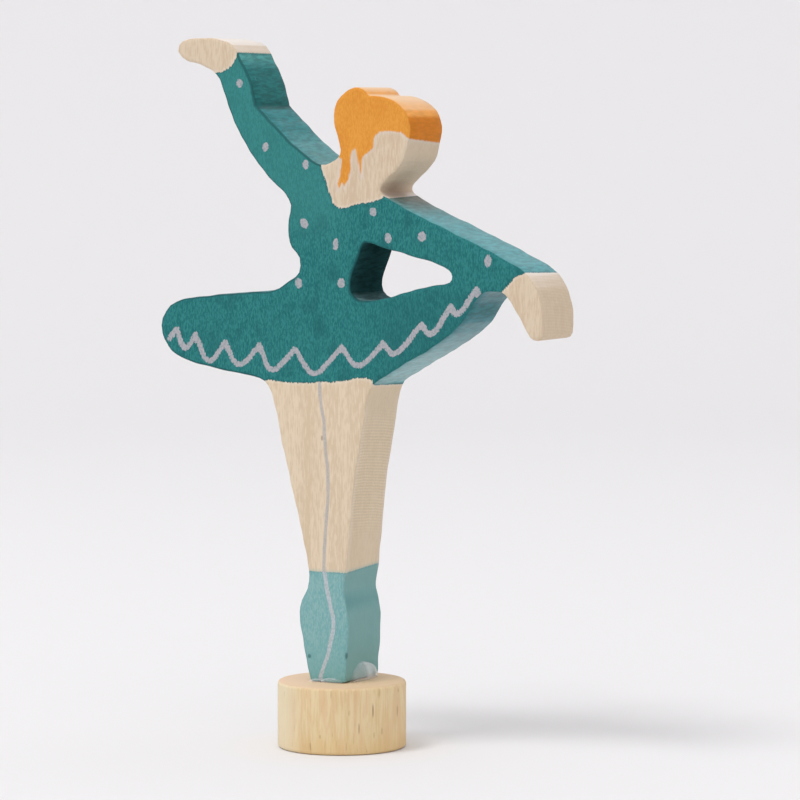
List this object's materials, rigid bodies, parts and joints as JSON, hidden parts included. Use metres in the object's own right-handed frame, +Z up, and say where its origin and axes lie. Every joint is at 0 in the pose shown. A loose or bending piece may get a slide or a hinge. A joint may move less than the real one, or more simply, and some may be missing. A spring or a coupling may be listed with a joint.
{
  "type": "ballerina figurine",
  "caption": "Flat sawn wooden ballerina with a raised arm, stained teal and orange, glued upright on a round beech plug.",
  "frame": {"origin": "centre of the plug's flat underside, on the surface the figurine stands on", "axes": "+Z up along the figure, -Y out of the decorated front face towards the viewer, +X the viewer's right"},
  "size_m": [0.0603, 0.018, 0.1004],
  "materials": {
    "stained_maple": "pale maple, dress stained teal, hair stained orange, slippers pale teal, hands, face and legs left natural; silver pen dots and zigzag; matt",
    "beech": "bare turned beech, matt",
    "clear_glue": "clear dried glue, glossy"
  },
  "bodies": {
    "root": {"figure": "stained_maple", "plug": "beech", "glue_bead": "clear_glue"}
  },
  "joints": []
}
